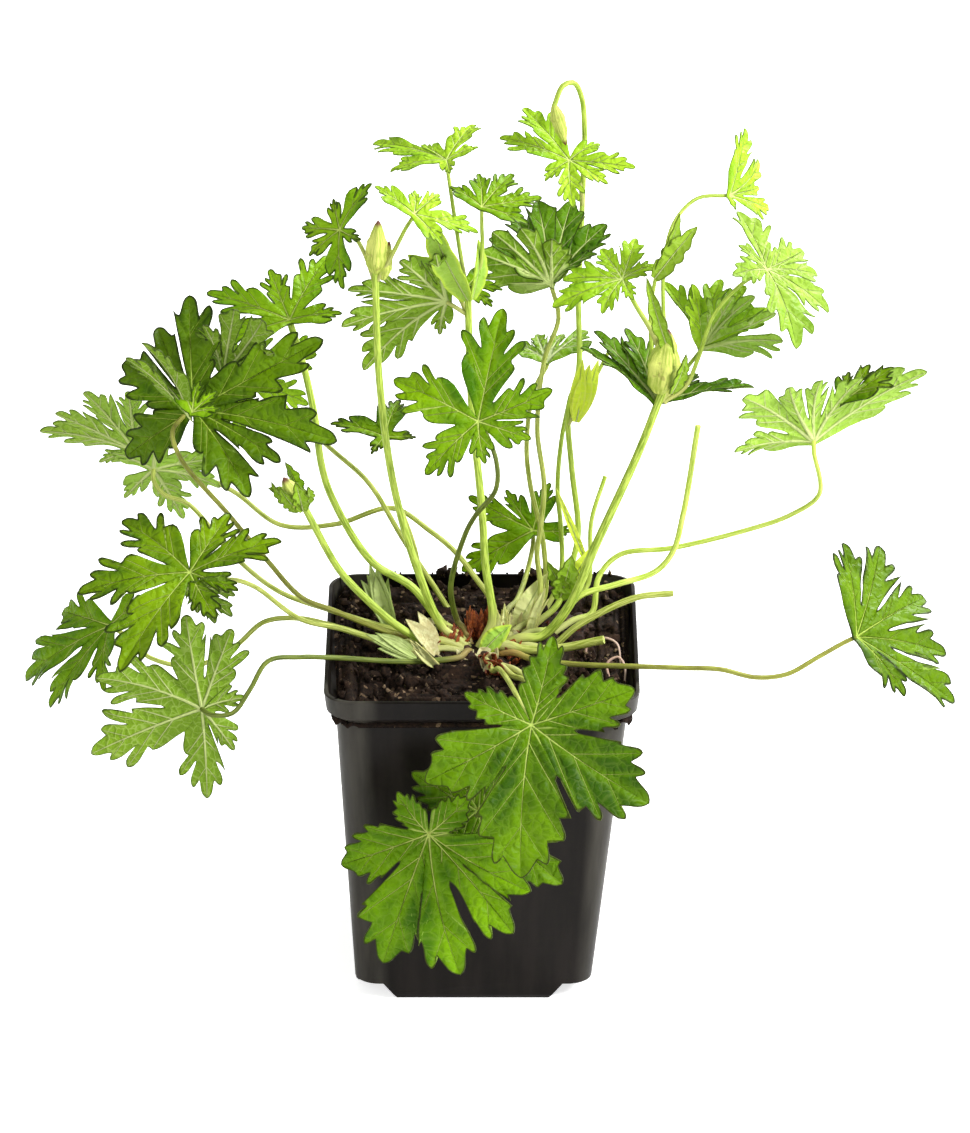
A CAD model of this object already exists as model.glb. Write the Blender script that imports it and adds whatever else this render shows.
"""A young hardy geranium in a square black nursery pot.

Sizes are in millimetres, and become metres where a mesh is made.
"""

import bpy
import mathutils
import numpy as np
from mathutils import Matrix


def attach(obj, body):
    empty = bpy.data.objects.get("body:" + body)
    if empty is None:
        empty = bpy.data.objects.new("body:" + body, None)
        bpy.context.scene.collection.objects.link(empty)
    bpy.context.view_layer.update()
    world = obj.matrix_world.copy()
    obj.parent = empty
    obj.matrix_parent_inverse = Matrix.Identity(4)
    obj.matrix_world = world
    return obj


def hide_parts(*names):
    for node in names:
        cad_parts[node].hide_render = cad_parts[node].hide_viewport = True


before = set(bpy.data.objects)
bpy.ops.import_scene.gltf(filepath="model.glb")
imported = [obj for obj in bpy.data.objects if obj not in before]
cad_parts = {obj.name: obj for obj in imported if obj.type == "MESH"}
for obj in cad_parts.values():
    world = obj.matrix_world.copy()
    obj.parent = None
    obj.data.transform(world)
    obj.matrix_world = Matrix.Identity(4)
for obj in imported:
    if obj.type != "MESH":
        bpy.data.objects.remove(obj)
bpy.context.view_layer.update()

# ---------------------------------------------------------------- nursery pot
# A thin pot blown from black plastic, with a wide rolled rim over a body that narrows to its base.
# Its corners are round, and four recesses under them leave a cross-shaped foot with a drain in each.
POT_HEIGHT = 100
RIM_HALF = 45
BODY_TOP_HALF = 41.8
BASE_HALF = 34
RIM_DEPTH = 6
RIM_STEP = 2.2
RIM_TAPER = 0.7
LIP_BEVEL = 0.4
BASE_BEVEL = 1.2
WALL = 1
FLOOR = 1.5
TOP_CORNER = 9
BASE_CORNER = 7
FOOT_LIFT = 5
FOOT_CORNER = 36
RECESS_TOP = 10
RECESS_BOTTOM = 15.6
RECESS_HEIGHT = 7
DRAIN_RADIUS = 2.6
DRAIN_PLACE = 28.5
BASE_LEAN = 2.6
SOFT_EDGE = 0.28
SHARP_ANGLE = np.radians(32)
SQUARE = np.array([[-1, -1], [1, -1], [1, 1], [-1, 1]])


def lean_at(z):
    """How far the askew body lies to the left of its rim at height z."""
    return -BASE_LEAN * np.maximum(0, 1 - z / (POT_HEIGHT - RIM_DEPTH))


def body_half(z):
    """Half the body's width at height z: it grows evenly from base to rim."""
    return BASE_HALF + (BODY_TOP_HALF - BASE_HALF) * z / (POT_HEIGHT - RIM_DEPTH)


def corner_at(z):
    """The radius of the body's corners at height z."""
    return BASE_CORNER + (TOP_CORNER - BASE_CORNER) * z / POT_HEIGHT


def rounded_square(half, corner, z, steps=14):
    """A ring round the pot at height z: four quarter circles joined by straight sides."""
    quarter = np.repeat(np.arange(4), steps + 1)
    angle = (quarter + np.tile(np.linspace(0, 1, steps + 1), 4)) * np.pi / 2
    middle = (quarter + 0.5) * np.pi / 2
    reach = (half - corner) * np.sqrt(2)
    x = lean_at(z) + np.cos(middle) * reach + np.cos(angle) * corner
    y = np.sin(middle) * reach + np.sin(angle) * corner
    return np.column_stack([x, y, np.full(x.shape, float(z))])


def grid_triangles(rows, columns, closed_round):
    """Two triangles for each cell of a grid of points, whose columns may close on themselves."""
    row, column = np.indices((rows - 1, columns - (not closed_round))).reshape(2, -1)
    a, b = row * columns + column, row * columns + (column + 1) % columns
    return np.concatenate([
        np.column_stack([a, b, b + columns]), np.column_stack([a, b + columns, a + columns]),
    ])


def weld(points, triangles, values=None):
    """Merges points that lie in one place, and leaves out the triangles that this closes up."""
    _, first, back = np.unique(np.round(points, 4), axis=0, return_index=True, return_inverse=True)
    triangles = back.reshape(-1)[triangles]
    a, b, c = triangles.T
    open_ones = (a != b) & (b != c) & (c != a)
    kept = {name: value[first] for name, value in (values or {}).items()}
    return points[first], triangles[open_ones], kept, open_ones


def mesh_of(name, points, triangles):
    """A smooth mesh from points in millimetres and triangles."""
    mesh = bpy.data.meshes.new(name)
    mesh.vertices.add(len(points))
    mesh.vertices.foreach_set("co", (points * 0.001).astype(np.float32).ravel())
    mesh.loops.add(3 * len(triangles))
    mesh.loops.foreach_set("vertex_index", triangles.astype(np.int32).ravel())
    mesh.polygons.add(len(triangles))
    mesh.polygons.foreach_set("loop_start", np.arange(0, 3 * len(triangles), 3, dtype=np.int32))
    mesh.update(calc_edges=True)
    mesh.shade_smooth()
    return mesh


def object_of(name, mesh):
    """Puts a mesh into the scene as an object."""
    made = bpy.data.objects.new(name, mesh)
    bpy.context.scene.collection.objects.link(made)
    return made


def lofted(name, rings):
    """A closed solid through rings of equal count, capped by a point in the middle of each end."""
    ends = [np.tile(ring.mean(axis=0), (len(ring), 1)) for ring in (rings[0], rings[-1])]
    skin = np.array([ends[0], *rings, ends[1]])
    triangles = grid_triangles(skin.shape[0], skin.shape[1], True)
    points, triangles, _, _ = weld(skin.reshape(-1, 3), triangles)
    return object_of(name, mesh_of(name, points, triangles))


def frustum(name, centre, top_half, bottom_half):
    """A square block that widens downwards, with its top at the given centre."""
    return lofted(name, [
        np.column_stack([centre[:2] + SQUARE * half, np.full(4, centre[2] - drop)])
        for half, drop in ((bottom_half, RECESS_HEIGHT), (top_half, 0))
    ])


def carved(name, tools, body):
    """The body with every tool cut out of it, as a mesh of its own."""
    for tool in tools:
        cut = body.modifiers.new("cut", "BOOLEAN")
        cut.operation, cut.solver, cut.object = "DIFFERENCE", "EXACT", tool
    bpy.context.view_layer.update()
    seen = body.evaluated_get(bpy.context.evaluated_depsgraph_get())
    mesh = bpy.data.meshes.new_from_object(seen)
    mesh.name = name
    for used in (body, *tools):
        bpy.data.objects.remove(used)
    return mesh


def four_places(distance):
    """The middles of four like places under the pot, at this distance from its two middle lines."""
    return [np.array([sx * distance + lean_at(0), sy * distance]) for sx in (-1, 1) for sy in (-1, 1)]


def recess_blocks(growth):
    """The four corner recesses under the pot, each larger by growth."""
    return [
        frustum("recess", [*place, FOOT_LIFT + growth], RECESS_TOP + growth, RECESS_BOTTOM + growth)
        for place in four_places(FOOT_CORNER)
    ]


def pot_mesh():
    """The outer body less its recesses, its cavity and its drains."""
    step = POT_HEIGHT - RIM_DEPTH
    outer = [
        (0, BASE_HALF - BASE_BEVEL / 2),
        (BASE_BEVEL, body_half(BASE_BEVEL)),
        *[(z, body_half(z)) for z in np.linspace(8, step - RIM_STEP, 9)],
        (step - 0.3, RIM_HALF - RIM_TAPER - 0.5),
        (step + 0.2, RIM_HALF - RIM_TAPER),
        (POT_HEIGHT - 1, RIM_HALF - 0.1),
        (POT_HEIGHT - LIP_BEVEL, RIM_HALF),
        (POT_HEIGHT - 0.1, RIM_HALF - 0.15),
        (POT_HEIGHT, RIM_HALF - LIP_BEVEL),
    ]
    body = lofted("pot", [rounded_square(half, corner_at(z), z) for z, half in outer])
    inner = [
        (FLOOR, body_half(FLOOR) - WALL),
        (step - RIM_STEP, body_half(step - RIM_STEP) - WALL),
        (step + LIP_BEVEL, RIM_HALF - RIM_TAPER - WALL),
        (POT_HEIGHT + 1, RIM_HALF - WALL),
    ]
    cavity = lofted("cavity", [rounded_square(half, corner_at(z) - WALL, z) for z, half in inner])
    cavity = object_of("cavity", carved("cavity", recess_blocks(WALL), cavity))
    angle = np.linspace(0, 2 * np.pi, 24, endpoint=False)
    circle = np.column_stack([np.cos(angle), np.sin(angle)]) * DRAIN_RADIUS
    drains = [
        lofted("drain", [np.column_stack([circle + place, np.full(24, z)]) for z in (0, 2 * FOOT_LIFT)])
        for place in four_places(DRAIN_PLACE)
    ]
    return carved("pot_shell", [*recess_blocks(0), cavity, *drains], body)


def colour(hex_code):
    """A linear colour from the usual six-figure code."""
    parts = np.array([int(hex_code[i:i + 2], 16) for i in (0, 2, 4)]) / 255
    linear = np.where(parts <= 0.04045, parts / 12.92, ((parts + 0.055) / 1.055) ** 2.4)
    return (*linear, 1.0)


def fed(tree, made, inputs):
    """Links or sets the inputs of a node. A six-figure code stands for its colour."""
    for key, value in inputs.items():
        if isinstance(value, bpy.types.NodeSocket):
            tree.links.new(value, made.inputs[key])
        else:
            made.inputs[key].default_value = colour(value) if isinstance(value, str) else value


def node(tree, kind, inputs=None, **settings):
    """Adds a node, with its settings and its inputs."""
    made = tree.nodes.new(kind)
    for key, value in settings.items():
        setattr(made, key, value)
    fed(tree, made, inputs or {})
    return made


def mixed(tree, factor, first, second):
    """A colour between two others."""
    return node(tree, "ShaderNodeMix", {0: factor, 6: first, 7: second}, data_type="RGBA").outputs[2]


def maths(tree, operation, first, second=0.5):
    """The result of one sum."""
    return node(tree, "ShaderNodeMath", {0: first, 1: second}, operation=operation).outputs[0]


def times(tree, first, second):
    """Two values multiplied."""
    return maths(tree, "MULTIPLY", first, second)


def plus(tree, first, second):
    """Two values added."""
    return maths(tree, "ADD", first, second)


def faded(tree, value, low, high, out_low=0.0, out_high=1.0):
    """A smooth step from out_low where value is low to out_high where it is high."""
    return node(tree, "ShaderNodeMapRange", {
        "Value": value, "From Min": low, "From Max": high, "To Min": out_low, "To Max": out_high,
    }, interpolation_type="SMOOTHSTEP").outputs["Result"]


def own_place(tree):
    """The object's own coordinates."""
    return node(tree, "ShaderNodeTexCoord").outputs["Object"]


def noise(tree, scale, detail=3.0, rough=0.55, at=None):
    """Noise over the object's own coordinates, or over another vector."""
    return node(tree, "ShaderNodeTexNoise", {
        "Vector": own_place(tree) if at is None else at, "Scale": scale, "Detail": detail, "Roughness": rough,
    }).outputs["Fac"]


def stretched(tree, place, scale):
    """A vector that is drawn out along some of its axes."""
    return node(tree, "ShaderNodeMapping", {"Vector": place, "Scale": scale}).outputs["Vector"]


def new_finish(name):
    """A new material's tree and its Principled shader."""
    material = bpy.data.materials.new(name)
    material.use_nodes = True
    return material.node_tree, material.node_tree.nodes["Principled BSDF"]


def dressed(tree, shader, skin, rough, height, depth, specular=0.5):
    """Gives a shader its colour, its roughness, its gloss and a relief of this depth in metres."""
    bump = node(tree, "ShaderNodeBump", {"Height": height, "Distance": depth, "Strength": 1.0})
    fed(tree, shader, {"Base Color": skin, "Roughness": rough, "Normal": bump.outputs["Normal"],
                       "Specular IOR Level": specular})


def pot_finish(name):
    """Black satin plastic: flow marks, fine grain, rubbed corners, a dusty bloom and a cleaner rim."""
    tree, shader = new_finish(name)
    place = own_place(tree)
    across, deep, height = node(tree, "ShaderNodeSeparateXYZ", {0: place}).outputs[:3]
    beside = plus(tree, maths(tree, "ABSOLUTE", across), maths(tree, "ABSOLUTE", deep))
    half = plus(tree, times(tree, height, 0.078), 0.034)
    corner = faded(tree, maths(tree, "DIVIDE", beside, half), 1.76, 1.87)
    flow = noise(tree, 160, 4, at=stretched(tree, place, (1, 1, 0.12)))
    dust = times(tree, faded(tree, noise(tree, 28, 4), 0.5, 0.75), faded(tree, height, 0.05, 0.1))
    bloom = mixed(tree, faded(tree, flow, 0.35, 0.7), "110d0a", "1c1714")
    bloom = mixed(tree, faded(tree, height, 0.0925, 0.0945, 0, 0.5), bloom, "060403")
    bloom = mixed(tree, times(tree, corner, faded(tree, flow, 0.2, 0.7, 0.25, 0.8)), bloom, "4a4740")
    bloom = mixed(tree, times(tree, dust, 0.1), bloom, "463f38")
    rough = faded(tree, plus(tree, times(tree, flow, 0.5), dust), 0.1, 1, 0.32, 0.55)
    grain = plus(tree, times(tree, noise(tree, 2600, 2), 0.12), flow)
    dressed(tree, shader, bloom, rough, grain, 0.00012, 0.13)


pot_finish("black_plastic")
pot = object_of("pot_shell", pot_mesh())
pot.data.shade_smooth()
pot.data.set_sharp_from_angle(angle=SHARP_ANGLE)
edge = pot.modifiers.new("soft_edges", "BEVEL")
edge.width, edge.segments = SOFT_EDGE / 1000, 2
edge.limit_method, edge.angle_limit = "ANGLE", SHARP_ANGLE
pot.data.materials.clear()
pot.data.materials.append(bpy.data.materials["black_plastic"])
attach(pot, "root")
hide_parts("pot")

# ---------------------------------------------------------------- potting soil
# Dark peat with bark bits, crumbs and pale fibres, filled to a few millimetres under the rim.
# It is higher towards the back and mounded round the rootstock; loose crumbs lie along the back rim.
GAP = 0.3
SOIL_FOOT = 7
SOIL_WAIST = 60
SOIL_LEVEL = 95
SOIL_SLOPE = 0.055
SOIL_BUMP = 0.7
MOUND_HEIGHT = 1.2
MOUND_RADIUS = 22
FINE_CRUMBS = (1500, 0.7, 2.3, 3)
COARSE_CRUMBS = (260, 1.5, 3.6, 5)
LOOSE_CRUMBS = 900
CRUMB_SPREAD = 41
RIM_CRUMBS = 34
RIM_SPREAD = 38


def soil_height(x, y):
    """The soil's level: a slope to the back, a mound in the middle and low uneven bumps."""
    mound = MOUND_HEIGHT * np.exp(-(x * x + y * y) / MOUND_RADIUS ** 2)
    coarse = np.sin(0.31 * x + 1.3) * np.cos(0.27 * y + 0.4)
    fine = np.sin(0.83 * x - 0.6 * y) * np.cos(0.71 * y + 0.9 * x)
    return SOIL_LEVEL + SOIL_SLOPE * y + mound + SOIL_BUMP * (coarse + 0.6 * fine)


def crumb_relief(x, y, count, smallest, largest, seed):
    """The height of the highest of many round crumbs, scattered at random, over each point."""
    random = np.random.default_rng(seed)
    centre = random.uniform(-RIM_HALF, RIM_HALF, (count, 2))
    radius = random.uniform(smallest, largest, count) * random.uniform(0.6, 1, count)
    stretch = random.uniform(0.6, 1.5, count)
    highest = np.zeros(x.shape)
    for group in np.array_split(np.arange(count), 12):
        across = (x[..., None] - centre[group, 0]) / (radius[group] * stretch[group])
        deep = (y[..., None] - centre[group, 1]) * stretch[group] / radius[group]
        dome = radius[group] * 0.75 * np.sqrt(np.maximum(0, 1 - across ** 2 - deep ** 2))
        highest = np.maximum(highest, dome.max(axis=-1))
    return highest


def soil_mesh():
    """A disc of rings shaped like the pot's inside, then a skirt down the wall and a flat underside."""
    rim_ring = rounded_square(RIM_HALF - RIM_TAPER - WALL - GAP, TOP_CORNER - WALL, SOIL_LEVEL, 60)
    part = np.linspace(0, 1, 100)[:, None] ** 0.8
    x, y = part * rim_ring[:, 0], part * rim_ring[:, 1]
    height = soil_height(x, y) + crumb_relief(x, y, *FINE_CRUMBS) + crumb_relief(x, y, *COARSE_CRUMBS) - 0.9
    sunk = np.clip((part - 0.965) / 0.035, 0, 1)
    lid = np.dstack([x, y, np.minimum(height - 1.4 * sunk, POT_HEIGHT - 0.6)])
    skirt = [
        rounded_square(half - GAP, corner, z, 60)
        for z, half, corner in (
            (POT_HEIGHT - RIM_DEPTH - 1.2, body_half(92) - WALL, TOP_CORNER - WALL),
            (SOIL_WAIST, body_half(SOIL_WAIST) - WALL, TOP_CORNER - WALL),
            (SOIL_FOOT, body_half(SOIL_FOOT) - WALL, BASE_CORNER - WALL),
        )
    ]
    under = np.zeros_like(rim_ring) + [lean_at(0), 0, SOIL_FOOT]
    skin = np.concatenate([lid, np.array(skirt), under[None]])
    triangles = grid_triangles(skin.shape[0], skin.shape[1], True)
    points, triangles, _, _ = weld(skin.reshape(-1, 3), triangles)
    return mesh_of("potting_soil", points, triangles)


def soil_finish(name, low, high, fibre):
    """Peat: dark and light grains, brown patches and pale specks, rough all over."""
    tree, shader = new_finish(name)
    patches = noise(tree, 90, 5, 0.65)
    grains = noise(tree, 900, 6, 0.7)
    specks = node(tree, "ShaderNodeTexVoronoi", {"Vector": own_place(tree), "Scale": 900.0}).outputs["Color"]
    bright = node(tree, "ShaderNodeSeparateColor", {0: specks}).outputs[0]
    ground = mixed(tree, faded(tree, grains, 0.35, 0.7), low, high)
    ground = mixed(tree, times(tree, faded(tree, patches, 0.45, 0.7), 0.6), ground, "4a3426")
    ground = mixed(tree, faded(tree, bright, 0.93, 0.99), ground, fibre)
    dressed(tree, shader, ground, 0.95, plus(tree, grains, times(tree, patches, 0.6)), 0.0009, 0.2)
    return bpy.data.materials[name]


soil = object_of("potting_soil", soil_mesh())
soil.data.materials.append(soil_finish("peat", "120c09", "33241a", "7d6750"))
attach(soil, "root")
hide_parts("soil")


def scattered_crumbs(count, seed):
    """Rough lumps of peat and bark lying on the soil: small squashed spheres with uneven radii."""
    random = np.random.default_rng(seed)
    x, y = random.uniform(-CRUMB_SPREAD, CRUMB_SPREAD, (2, count))
    size = 0.35 + 1.5 * random.random(count) ** 2.6
    rings, sides = 5, 7
    polar = np.linspace(0, np.pi, rings)[:, None]
    turn = np.linspace(0, 2 * np.pi, sides, endpoint=False)[None]
    ball = np.dstack([np.sin(polar) * np.cos(turn), np.sin(polar) * np.sin(turn), np.cos(polar) + 0 * turn])
    ball = ball.reshape(-1, 3)
    shape = ball * (1 + 0.35 * random.standard_normal((count, len(ball), 1)))
    shape[:, :sides] = shape[:, :1]
    shape[:, -sides:] = shape[:, -1:]
    shape *= random.uniform(0.55, 1.35, (count, 1, 3)) * size[:, None, None]
    place = np.column_stack([x, y, soil_height(x, y) + 0.45 * size + 0.5])
    place[:RIM_CRUMBS, 0] = random.uniform(-RIM_SPREAD, RIM_SPREAD, RIM_CRUMBS)
    place[:RIM_CRUMBS, 1:] = RIM_HALF - 0.9, POT_HEIGHT + 0.4
    points = (shape + place[:, None]).reshape(-1, 3)
    one = grid_triangles(rings, sides, True)[:, ::-1]
    triangles = (one[None] + (np.arange(count) * len(ball))[:, None, None]).reshape(-1, 3)
    points, triangles, _, _ = weld(points, triangles)
    return mesh_of("soil_crumbs", points, triangles)


crumbs = object_of("soil_crumbs", scattered_crumbs(LOOSE_CRUMBS, 11))
crumbs.data.materials.append(soil_finish("bark", "150e0a", "3a2a1f", "8a755c"))
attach(crumbs, "root")

# ---------------------------------------------------------------- leaves
# Palmate leaves, each on a long petiole that grows from the rootstock. A blade has five to seven
# lobes, cut into toothed fingers; veins are sunk above and raised below, and the margin is dark.
# A lobe's tip is so far to the right of the blade's hub, up and towards a viewer at this tilt.
VIEW_TILT = np.radians(24)
RIGHT = np.array([1.0, 0, 0])
UP = np.array([0, np.sin(VIEW_TILT), np.cos(VIEW_TILT)])
TOWARD = np.array([0, -np.cos(VIEW_TILT), np.sin(VIEW_TILT)])
PETIOLE = 0.85
SINUS_REACH = 0.34
LOBE_WIDTH = 0.2
LOBE_ARCH = 0.05
CREASE = 0.2
WAVE = 0.1
SWELL_HEIGHT = 0.5
SWELL_REACH = 1.3
WIDEST_GAP = 2.2
NOTCH_DEPTH = 1.6
BLADE_THICKNESS = 0.36
PALM_ROWS = 6
EDGE_STEPS = 9
VEIN_LEAN = np.radians(34)
TOOTH_LEAN = np.radians(26)
TIP_ANGLE = np.radians(68)
CRISP_FOLD = np.radians(60)
NO_VEIN = 99.0
# The teeth of a lobe's side: each tip, then the notch after it, as parts of its length and half width.
TEETH = {
    "small": ((0.76, 1.0, 0.64, 0.42), (0.87, 0.56, 0.82, 0.32)),
    "narrow": ((0.56, 0.8, 0.57, 0.66), (0.76, 1.05, 0.63, 0.4), (0.87, 0.56, 0.82, 0.32)),
    "oak": ((0.42, 0.8, 0.43, 0.62), (0.64, 1.05, 0.6, 0.56), (0.85, 0.68, 0.8, 0.38)),
    "broad": (
        (0.44, 0.92, 0.46, 0.8), (0.6, 1.02, 0.61, 0.8), (0.75, 0.88, 0.72, 0.56), (0.88, 0.54, 0.85, 0.36),
    ),
}


def unit(vector):
    """The vector at length one."""
    return vector / np.linalg.norm(vector, axis=-1, keepdims=True)


def facing(turned):
    """The direction that an upper side faces: turn 0 is to the front, rise 90 is up."""
    turn, rise = np.radians(turned)
    return np.array([np.cos(rise) * np.sin(turn), -np.cos(rise) * np.cos(turn), np.sin(rise)])


def squared(face, along):
    """The part of a face that is square to a direction, and the direction across both."""
    normal = unit(face - along * (face @ along))
    return normal, np.cross(normal, along)


def ordered_lobes(tips, face, width):
    """Each lobe's length, width and directions, in order round the face after the widest gap."""
    lobes = []
    for tip, share in zip(tips, np.broadcast_to(width, len(tips))):
        right, up = tip[:2]
        depth = tip[2] if len(tip) == 3 else -(right * face @ RIGHT + up * face @ UP) / (face @ TOWARD)
        reach = right * RIGHT + up * UP + depth * TOWARD
        normal, across = squared(face, unit(reach))
        length = np.linalg.norm(reach)
        lobes.append({"along": unit(reach), "normal": normal, "across": across, "length": length,
                      "half": share * length})
    zero, _ = squared(lobes[0]["along"], face)
    quarter = np.cross(face, zero)
    for lobe in lobes:
        lobe["angle"] = np.arctan2(lobe["along"] @ quarter, lobe["along"] @ zero) % (2 * np.pi)
    lobes.sort(key=lambda lobe: lobe["angle"])
    for lobe, following in zip(lobes, lobes[1:] + lobes[:1]):
        lobe["gap"] = (following["angle"] - lobe["angle"]) % (2 * np.pi)
    widest = max(range(len(lobes)), key=lambda i: lobes[i]["gap"])
    return lobes[widest + 1:] + lobes[:widest + 1]


def cubic(t, start, first, second, end):
    """A cubic curve from start to end, with two points that pull it between them."""
    return (1 - t) ** 3 * start + 3 * t * (1 - t) ** 2 * first + 3 * t ** 2 * (1 - t) * second + t ** 3 * end


def finger_rows(length, half, shore, teeth, room):
    """Rows from a lobe's midrib to its edge, which run forward like side veins.

    Returns where each row starts on the midrib, where it ends (along, aside) and its distance from
    the nearest side vein. Cubic curves join the tips and notches: they leave a tip at TIP_ANGLE to
    its axis, which leans out by TOOTH_LEAN, and run straight into a notch. The edge stays on its
    own side of the ray at the angle room, where the next lobe begins.
    """
    teeth = np.array(teeth).reshape(-1, 2, 2) * [length, half]
    teeth = teeth[teeth[:, 0, 0] > shore[0] + 0.08 * length]
    t = ((1 - np.cos(np.linspace(0, np.pi, EDGE_STEPS + 1)[:-1])) / 2)[:, None]
    ends = [*teeth, np.array([[length, 0], [length, 0]])]
    notch, curves = np.array(shore), []
    for i, (tip, following) in enumerate(ends):
        last = i == len(ends) - 1
        axis = np.pi + (0 if last else TOOTH_LEAN)
        outer, inner = (
            np.array([np.cos(turn), np.sin(turn)]) for turn in (axis - TIP_ANGLE, axis + TIP_ANGLE)
        )
        rise, fall = np.linalg.norm(tip - notch), np.linalg.norm(following - tip)
        outer = outer * rise * (0.42 if last else 0.34)
        curves.append(cubic(t, notch, notch + (tip - notch) * 0.4, tip + outer, tip))
        if not last:
            pull = following + (tip - following) * 0.3
            curves.append(cubic(t, tip, tip + inner * fall * 0.4, pull, following))
        notch = following
    edge = np.concatenate([*curves, [[length, 0]]])
    border = edge[:, 0] * np.tan(0.93 * room) - 0.1
    edge[1:, 1] = np.minimum(edge[1:, 1], np.maximum(border, edge[0, 1])[1:])
    slope = 1 / np.tan(VEIN_LEAN)
    start = edge[:, 0] - np.abs(edge[:, 1]) * slope
    first = np.clip(start[0], 0.03 * length, 0.34 * length)
    start = start + (first - start[0]) * np.exp(-(edge[:, 0] - edge[0, 0]) / (0.1 * length))
    spacing = 0.0004 * length * np.arange(len(start))
    start = np.minimum(np.maximum.accumulate(np.maximum(start, first) - spacing) + spacing, length)
    start = np.concatenate([first * np.linspace(0, 1, PALM_ROWS)[:-1], start])
    edge = np.concatenate([np.zeros((PALM_ROWS - 1, 2)), edge])
    tips = teeth[:, 0, 0] - teeth[:, 0, 1] * slope
    vein = np.abs(start[:, None] - tips).min(axis=1, initial=NO_VEIN) * np.sin(VEIN_LEAN)
    return start, edge[:, 0], edge[:, 1], vein


def half_lobe(hub, lobe, side, ray, teeth, room):
    """One side of a lobe, as a grid of rows from the midrib to the edge.

    A point a along the midrib and s to its side lifts off the lobe's plane by an arch over the
    lobe's length, a crease along the midrib, a soft swell between the veins and a wave along the
    edge. Rows in the palm end on the ray that this lobe shares with its neighbour.
    """
    length = lobe["length"]
    ray_end = ray[-1] - hub
    shore = (ray_end @ lobe["along"], max(0.2, side * (ray_end @ lobe["across"])))
    start, edge_a, edge_s, vein = finger_rows(length, lobe["half"], shore, teeth, room)
    row = np.arange(len(start))
    target = ray[np.minimum(row, PALM_ROWS - 1)]
    edge_a = np.where(row < PALM_ROWS - 1, (target - hub) @ lobe["along"], edge_a)
    edge_s = np.where(row < PALM_ROWS - 1, side * ((target - hub) @ lobe["across"]), edge_s)
    fraction = np.array([0, 0.22, 0.46, 0.7, 0.87, 1.0])
    a = start[:, None] + (edge_a - start)[:, None] * fraction
    s = edge_s[:, None] * fraction
    part = np.clip(a / length, 0, 1)
    vein = np.broadcast_to(vein[:, None], s.shape)
    swell = SWELL_HEIGHT * (1 - np.exp(-(np.minimum(s, vein) / SWELL_REACH) ** 2)) * min(1, length / 25)
    wave = WAVE * np.sin(2 * np.pi * a / (0.45 * length) + lobe["phase"])
    lift = 4 * lobe["arch"] * part * (1 - part) * length + lobe["crease"] * s + swell
    lift = lift + (side * lobe["roll"] + wave) * s
    aside = side * s + 4 * lobe["bend"] * part * (1 - part) * length
    points = (hub + a[..., None] * lobe["along"] + aside[..., None] * lobe["across"]
              + lift[..., None] * lobe["normal"])
    missing = target - points[:, -1]
    fade = np.exp(-np.maximum(0, start - start[PALM_ROWS - 1]) / (0.12 * length))
    missing = np.where((row < PALM_ROWS)[:, None], missing, missing[PALM_ROWS - 1] * fade[:, None])
    points = points + missing[:, None] * fraction[:, None] ** 2
    triangles = grid_triangles(len(start), fraction.size, False)[:, ::-side]
    values = {"rib": s, "vein": vein, "reach": part}
    shift = lobe["number"]
    uv = np.stack([(a + 60 * shift) / 100, (side * s + 40 * shift) / 100], -1).reshape(-1, 2)
    values = {name: value.ravel() for name, value in values.items()}
    return points.reshape(-1, 3), triangles, values, uv, points[PALM_ROWS - 1:, -1]


def part_of(points, triangles, values, finish, uv):
    """One part of a piece: its surface, its values, its finish and its place on the finish."""
    return {"points": points, "triangles": triangles, "values": values,
            "finish": np.full(len(triangles), finish), "uv": uv}


def joined(parts):
    """Several parts as one. A value that a part doesn't carry is 0 there."""
    shift = np.cumsum([0] + [len(part["points"]) for part in parts[:-1]])
    names = sorted({name for part in parts for name in part["values"]})
    return {
        "points": np.concatenate([part["points"] for part in parts]),
        "triangles": np.concatenate([part["triangles"] + at for part, at in zip(parts, shift)]),
        "values": {
            name: np.concatenate([part["values"].get(name, np.zeros(len(part["points"]))) for part in parts])
            for name in names
        },
        "finish": np.concatenate([part["finish"] for part in parts]),
        "uv": np.concatenate([part["uv"] for part in parts]),
    }


def thickened(points, triangles, values, finish, uv, thickness):
    """A closed sheet: the surface, a copy under it along the vertex normals, and a rim between."""
    corner = points[triangles]
    flat = np.cross(corner[:, 1] - corner[:, 0], corner[:, 2] - corner[:, 0])
    normal = np.zeros_like(points)
    for k in range(3):
        np.add.at(normal, triangles[:, k], flat)
    normal = normal / np.maximum(np.linalg.norm(normal, axis=1, keepdims=True), 1e-9)
    count = len(points)
    edges, uv_edges = (
        np.concatenate([corners[:, [k, (k + 1) % 3]] for k in range(3)]) for corners in (triangles, uv)
    )
    border = ~np.isin(edges @ [count, 1], edges @ [1, count])
    a, b = edges[border].T
    uv_a, uv_b = uv_edges[border, 0], uv_edges[border, 1]
    both = np.concatenate([points + normal * thickness / 2, points - normal * thickness / 2])
    faces = np.concatenate([
        triangles, triangles[:, ::-1] + count,
        np.column_stack([b, a, a + count]), np.column_stack([b, a + count, b + count]),
    ])
    uv_all = np.concatenate([
        uv, uv[:, ::-1], np.stack([uv_b, uv_a, uv_a], 1), np.stack([uv_b, uv_a, uv_b], 1),
    ])
    doubled = {name: np.concatenate([value, value]) for name, value in values.items()}
    doubled["under"] = np.repeat([0.0, 1.0], count)
    return part_of(both, faces, doubled, finish, uv_all)


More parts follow.
